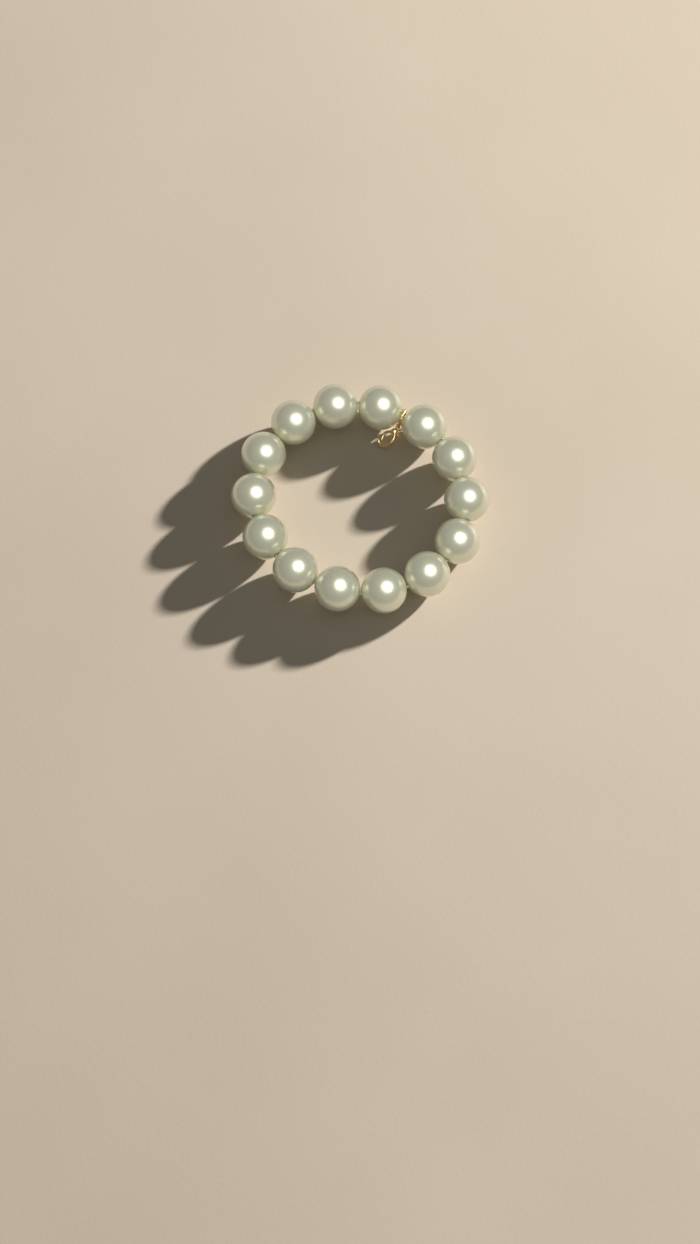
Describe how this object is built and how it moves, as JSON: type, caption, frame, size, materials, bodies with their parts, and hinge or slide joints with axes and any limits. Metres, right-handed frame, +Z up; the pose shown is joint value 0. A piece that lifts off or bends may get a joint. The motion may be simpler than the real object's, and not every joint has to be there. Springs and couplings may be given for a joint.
{
  "type": "pearl bracelet",
  "caption": "Round pearls on an elastic thread, closed into a wrist-sized loop, with a small lobster clasp hanging from a jump ring.",
  "frame": {"origin": "under the middle of the loop, at the level that the pearls rest on", "axes": "+X along the loop's longer side, +Z up, and the clasp hangs inside the loop on the +Y side"},
  "size_m": [0.0794, 0.0754, 0.014],
  "materials": {
    "pearl": "pearlescent, greenish ivory",
    "thread": "milky elastic",
    "gold": "polished, gold plated"
  },
  "bodies": {
    "bracelet": {"pearl_01": "pearl", "pearl_02": "pearl", "pearl_03": "pearl", "pearl_04": "pearl", "pearl_05": "pearl", "pearl_06": "pearl", "pearl_07": "pearl", "pearl_08": "pearl", "pearl_09": "pearl", "pearl_10": "pearl", "pearl_11": "pearl", "pearl_12": "pearl", "pearl_13": "pearl", "pearl_14": "pearl", "elastic_thread": "thread", "jump_ring": "gold", "clasp_body": "gold", "clasp_pin": "gold"},
    "lever": {"clasp_lever": "gold"}
  },
  "joints": [
    {"name": "lever_hinge", "type": "hinge", "parent": "bracelet", "child": "lever", "pos_m": [0.01061, 0.0237, 0.00314], "axis": [-0.3374, -0.1751, 0.9249], "range_deg": [0, 18], "stiffness_Nm_per_rad": 0.004, "springref_deg": -17.19}
  ]
}
